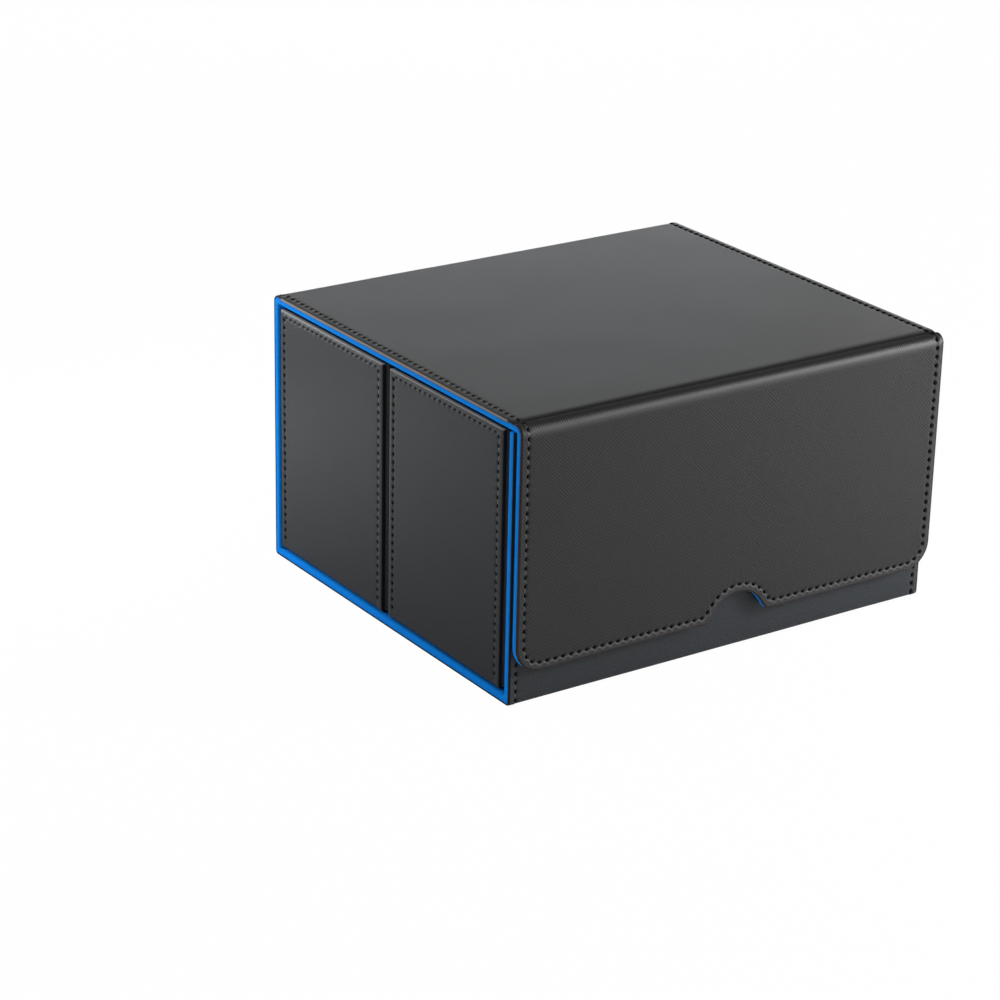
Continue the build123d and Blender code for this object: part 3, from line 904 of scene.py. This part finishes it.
drawerCut = {
    "skin": 0.4 * mm,
    "rimWidth": 1.9 * mm,
    "hem": 6.5 * mm,
    "corner": 0.9 * mm,
    "cornerSteps": 4,
    "uprightLeast": 50.0 * mm,  # edges that rise more than this are the box's corners
    "rimSoft": 0.4 * mm,
    "rimSteps": 3,
    "rimReach": 0.1 * mm,  # how near the top, or the foot, an edge is softened
    "footReach": 1.0 * mm,
    "softAngle": 1.0,  # radians
    "bandThickness": 1.4 * mm,
    "bandFold": 2.2 * mm,
    "bandCorner": 0.7 * mm,
    "bandLeast": 0.1 * mm,
    "bandRow": 3.0 * mm,
    "pitch": 3.4 * mm,
    "pull": 0.5,
    "dye": (0.3 * mm, 0.12 * mm),  # top edges, sides
    "topShare": 2.3 / 3.0,  # the top row is nearer to the edge than the side rows
    "bandRings": [0, 0.12, 0.3, 0.5, 0.8, 1.1, 1.4, 1.7, 1.95, 2.2, 2.45, 2.7,
                  3.0, 3.25, 3.5, 3.8, 4.4, 5.4],  # mm in from the cut edge
    "bandSkirt": 2.0 * mm,  # plain leather above the fold at the foot
    "columns": (-28.0 * mm, 29.0 * mm, 9.33 * mm),  # cuts from, to, apart
    "gridTop": 14.0 * mm,
    "gridFoot": 4.0 * mm,
    "underStep": 9.0 * mm,
    "foldCuts": 8,
    "upSteps": 190, "overSteps": 144, "turnSteps": 2,
    "waveSpread": 90,  # keeps the two drawers' waves apart
    "weld": 0.01 * mm,
}


def boxShape(low, high):
    bm = bmesh.new()
    place = Matrix.Translation((low + high) / 2) @ Matrix.Diagonal((*(high - low), 1))
    bmesh.ops.create_cube(bm, size=1, matrix=place)
    bm.normal_update()
    return bm, max(bm.faces, key=lambda f: f.calc_center_median().z)


def thinSkin(bm):
    bmesh.ops.recalc_face_normals(bm, faces=bm.faces[:])
    bmesh.ops.solidify(bm, geom=bm.faces[:], thickness=drawerCut["skin"])


def drawerShell(name, node):
    c = drawerCut
    low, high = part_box(node)
    bm, top = boxShape(low, high)
    bmesh.ops.inset_region(bm, faces=[top], thickness=c["rimWidth"], use_even_offset=True)
    lip = top.edges[:]
    bmesh.ops.delete(bm, geom=[top], context="FACES_ONLY")
    hem = newVerts(bmesh.ops.extrude_edge_only(bm, edges=lip))
    bmesh.ops.translate(bm, verts=hem, vec=(0, 0, -c["hem"]))
    upright = [e for e in bm.edges if abs(e.verts[0].co.z - e.verts[1].co.z) > c["uprightLeast"]]
    bevelEdges(bm, upright, c["corner"], c["cornerSteps"], True)
    soft = []
    for e in bm.edges:
        heights = [v.co.z for v in e.verts]
        atEnd = max(heights) < low.z + c["footReach"] or min(heights) > high.z - c["rimReach"]
        if atEnd and len(e.link_faces) == 2 and e.calc_face_angle(0) > c["softAngle"]:
            soft.append(e)
    bevelEdges(bm, soft, c["rimSoft"], c["rimSteps"], True)
    thinSkin(bm)
    return addPiece(bm, name, [boxLeather])


def drawerFelt(name, node):
    bm, top = boxShape(*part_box(node))
    bmesh.ops.delete(bm, geom=[top], context="FACES_ONLY")
    thinSkin(bm)
    return addPiece(bm, name, [blueFelt])


def joinBand(endBm, underBm, total):  # both ends and the strip under the drawer, as one sheet
    endMesh, underMesh = bpy.data.meshes.new("band_end"), bpy.data.meshes.new("band_under")
    endBm.to_mesh(endMesh)
    underBm.to_mesh(underMesh)
    bm = bmesh.new()
    bm.from_mesh(endMesh)
    halfTurn = Matrix.Rotation(math.pi, 3, "Z")
    bmesh.ops.rotate(endBm, verts=endBm.verts[:], cent=(0, total / 2, 0), matrix=halfTurn)
    endBm.to_mesh(endMesh)
    bm.from_mesh(endMesh)
    bm.from_mesh(underMesh)
    for spare in (endBm, underBm):
        spare.free()
    for spare in (endMesh, underMesh):
        bpy.data.meshes.remove(spare)
    bmesh.ops.remove_doubles(bm, verts=bm.verts[:], dist=drawerCut["weld"])
    return bm


def drawerBand(name, node):
    c = drawerCut
    low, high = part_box(node)
    half, middle = (high.y - low.y) / 2, (high.y + low.y) / 2
    fold = c["bandFold"]
    side, quarter = high.z - low.z - fold, fold * rightAngle
    steps = [(side, 0), (quarter, fold), (high.x - low.x - 2 * fold, 0), (quarter, fold), (side, 0)]
    route = layRoute((low.x, high.z), -rightAngle, steps)
    total = sum(length for length, radius in steps)
    foot = side - c["bandSkirt"]
    insets = [inset * mm for inset in c["bandRings"]]
    columns = list(np.arange(*c["columns"]))

    def drawEnd(bm, inset):
        corner = max(c["bandCorner"] - inset, c["bandLeast"])
        up = (0, foot - inset * c["topShare"] - corner, c["upSteps"])
        over = (0, 2 * (half - inset - corner), c["overSteps"])
        turn = (corner, rightAngle, c["turnSteps"])
        return drawChain(bm, (-half + inset, foot), -rightAngle, [up, turn, over, turn, up])

    def place(across, a, b):
        return Vector((a, middle + across, b))

    endBm, rings = ringSheet(drawEnd, insets)
    cutSheet(endBm, columns, 0)
    cutSheet(endBm, np.arange(c["gridTop"], foot - c["gridFoot"], wrap["gridStep"]), 1)
    row = rings[c["bandRow"]]
    pitch = evenPitch(row, c["pitch"])
    underBm = stripSheet(half, foot, total - foot, c["underStep"])
    cutSheet(underBm, [s * (half - inset) for inset in insets[1:] for s in (-1, 1)] + columns, 0)
    for begin in (side, total - side - quarter):
        cutSheet(underBm, foldCuts(begin, begin + quarter, c["foldCuts"]), 1)
    edgeLines = [np.array([(s * half, 0.0), (s * half, total)]) for s in (-1, 1)]
    seed = middle * c["waveSpread"]
    pressSheet(endBm, [rings[0.0]], [(row, pitch)], c["bandRow"], seed, pull=c["pull"])
    pressSheet(underBm, edgeLines, [], c["bandRow"], seed)
    bm = joinBand(endBm, underBm, total)
    thickenSheet(bm, c["bandThickness"], c["dye"])
    keepFlatMap(bm)
    foldSheet(bm, route, place)
    band = addPiece(bm, name, [smoothLeather, paleEdge, darkEdge])
    otherRow = np.array([(0, total)]) - row
    rows = [(line, pitch, 0, None) for line in (row, otherRow)]
    return band, sewnPiece(name.replace("band", "stitches"), rows, route, place)


for drawer in ("rear_drawer", "front_drawer"):
    shell = drawerShell(drawer + "_leather", drawer + "_cover")
    lining = drawerFelt(drawer + "_felt", drawer + "_lining")
    band, sewn = drawerBand(drawer + "_sewn_band", drawer + "_band")
    for piece, node in ((shell, "_cover"), (lining, "_lining"), (band, "_band")):
        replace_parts(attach(piece, drawer), drawer + node)
    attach(sewn, drawer)
bpy.data.meshes.remove(oneStitch)
print("drawers covered, lined and sewn")

for node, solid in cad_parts.items():
    finish = platedSteel if node in ("flap_magnets", "front_wall_plates") else greyBoard
    solid.data.materials.clear()
    solid.data.materials.append(finish)

white = (1, 1, 1, 1)
studio = {
    "floorSize": 6.0,
    "floorCells": 8,
    "floorGlow": 0.985,
    "floorTones": ((0.90, 0.90, 0.90, 1), (0.93, 0.93, 0.93, 1)),
    "floorRough": 0.8,
    "floorSpecular": 0.1,
    "dustSize": 0.025,
    "dustDetail": 3.0,
    "skyLow": 0.95,  # light of the backdrop at the horizon, and overhead
    "skyHigh": 0.22,
    "skyTurn": 0.36,
    "lamps": [  # place, aim, width, height, watts, colour
        ((0.52, 1.0, 0.24), (0.0, 0.08, 0.11), 0.70, 0.12, 1.15, (0.93, 0.96, 1.0)),
        ((1.05, 0.85, 0.45), (0.08, -0.02, 0.11), 0.25, 0.20, 0.40, (1.0, 1.0, 1.0)),
        ((0.76, -0.68, 0.54), (0.06, -0.09, 0.09), 0.32, 0.30, 6.5, (1.0, 1.0, 0.98)),
        ((0.34, -0.27, 0.16), (0.10, -0.09, 0.08), 0.12, 0.12, 0.75, (1.0, 1.0, 1.0)),
        ((-0.21, 0.27, 0.12), (-0.10, 0.09, 0.06), 0.12, 0.12, 0.45, (0.86, 0.93, 1.0)),
        ((-0.30, -0.10, 1.60), (0.0, 0.0, 0.05), 1.2, 1.2, 5.0, (1.0, 1.0, 1.0)),
    ],
}


def layFloor():
    bm = bmesh.new()
    cells = studio["floorCells"]
    bmesh.ops.create_grid(bm, x_segments=cells, y_segments=cells, size=studio["floorSize"] / 2)
    material, tree, shader = startFinish("pale_floor")
    coords = addNode(tree, "TexCoord").outputs["Object"]
    dust = noiseOf(tree, coords, studio["dustSize"], studio["dustDetail"])
    tree.links.new(blendColours(tree, dust, *studio["floorTones"]), shader.inputs["Base Color"])
    shader.inputs["Roughness"].default_value = studio["floorRough"]
    shader.inputs["Specular IOR Level"].default_value = studio["floorSpecular"]
    glow = addNode(tree, "Emission", {"Color": white, "Strength": 1.0})
    seen = addNode(tree, "LightPath").outputs["Is Camera Ray"]
    share = combine(tree, "MULTIPLY", seen, studio["floorGlow"])
    mix = addNode(tree, "MixShader", {0: share, 1: shader.outputs[0], 2: glow.outputs[0]})
    tree.links.new(mix.outputs[0], tree.nodes["Material Output"].inputs["Surface"])
    addPiece(bm, "floor", [material])


def lightStudio():
    world = bpy.data.worlds.new("studio")
    bpy.context.scene.world = world
    world.use_nodes = True
    tree = world.node_tree
    soft = tree.nodes["Background"]
    soft.inputs["Color"].default_value = white
    toward = addNode(tree, "SeparateXYZ", {0: addNode(tree, "TexCoord").outputs["Generated"]}).outputs["Z"]
    glow = addNode(tree, "MapRange", {
        "Value": toward, "From Max": studio["skyTurn"], "To Min": studio["skyLow"],
        "To Max": studio["skyHigh"]}, interpolation_type="SMOOTHSTEP")
    tree.links.new(glow.outputs[0], soft.inputs["Strength"])
    plain = addNode(tree, "Background", {"Color": white, "Strength": 1.0})
    seen = addNode(tree, "LightPath").outputs["Is Camera Ray"]
    mix = addNode(tree, "MixShader", {0: seen, 1: soft.outputs[0], 2: plain.outputs[0]})
    tree.links.new(mix.outputs[0], tree.nodes["World Output"].inputs["Surface"])
    for i, (place, aim, width, height, watts, colour) in enumerate(studio["lamps"]):
        lamp = bpy.data.lights.new(f"softbox{i}", "AREA")
        lamp.shape, lamp.size, lamp.size_y = "RECTANGLE", width, height
        lamp.energy, lamp.color = watts, colour
        holder = bpy.data.objects.new(lamp.name, lamp)
        holder.location = place
        holder.rotation_euler = (Vector(aim) - Vector(place)).to_track_quat("-Z", "Y").to_euler()
        holder.visible_camera = False
        bpy.context.scene.collection.objects.link(holder)


shot = {  # matched to the photograph's corners
    "azimuth": math.radians(-34.428),
    "elevation": math.radians(22.0),
    "roll": math.radians(1.224),
    "distance": 1243.998 * mm,
    "aside": -40.659 * mm,
    "above": -21.479 * mm,
    "lens": 110.8,
    "sensor": 36,
    "clip": (0.01, 50),
}


def setCamera():
    a, e, r = shot["azimuth"], shot["elevation"], shot["roll"]
    back = Vector((math.sin(a) * math.cos(e), -math.cos(a) * math.cos(e), math.sin(e)))
    level = Vector((0, 0, 1)).cross(back).normalized()
    upright = back.cross(level)
    right = level * math.cos(r) + upright * math.sin(r)
    up = back.cross(right)
    camera = bpy.data.cameras.new("camera")
    camera.lens, camera.sensor_width = shot["lens"], shot["sensor"]
    camera.clip_start, camera.clip_end = shot["clip"]
    holder = bpy.data.objects.new("camera", camera)
    bpy.context.scene.collection.objects.link(holder)
    middle = (cadLow + cadHigh) / 2
    spot = middle + right * shot["aside"] + up * shot["above"] + back * shot["distance"]
    turn = Matrix((right, up, back)).transposed().to_4x4()
    holder.matrix_world = Matrix.Translation(spot) @ turn
    bpy.context.scene.camera = holder


layFloor()
lightStudio()
setCamera()
bpy.context.scene.view_settings.view_transform = "Standard"
print("studio set")
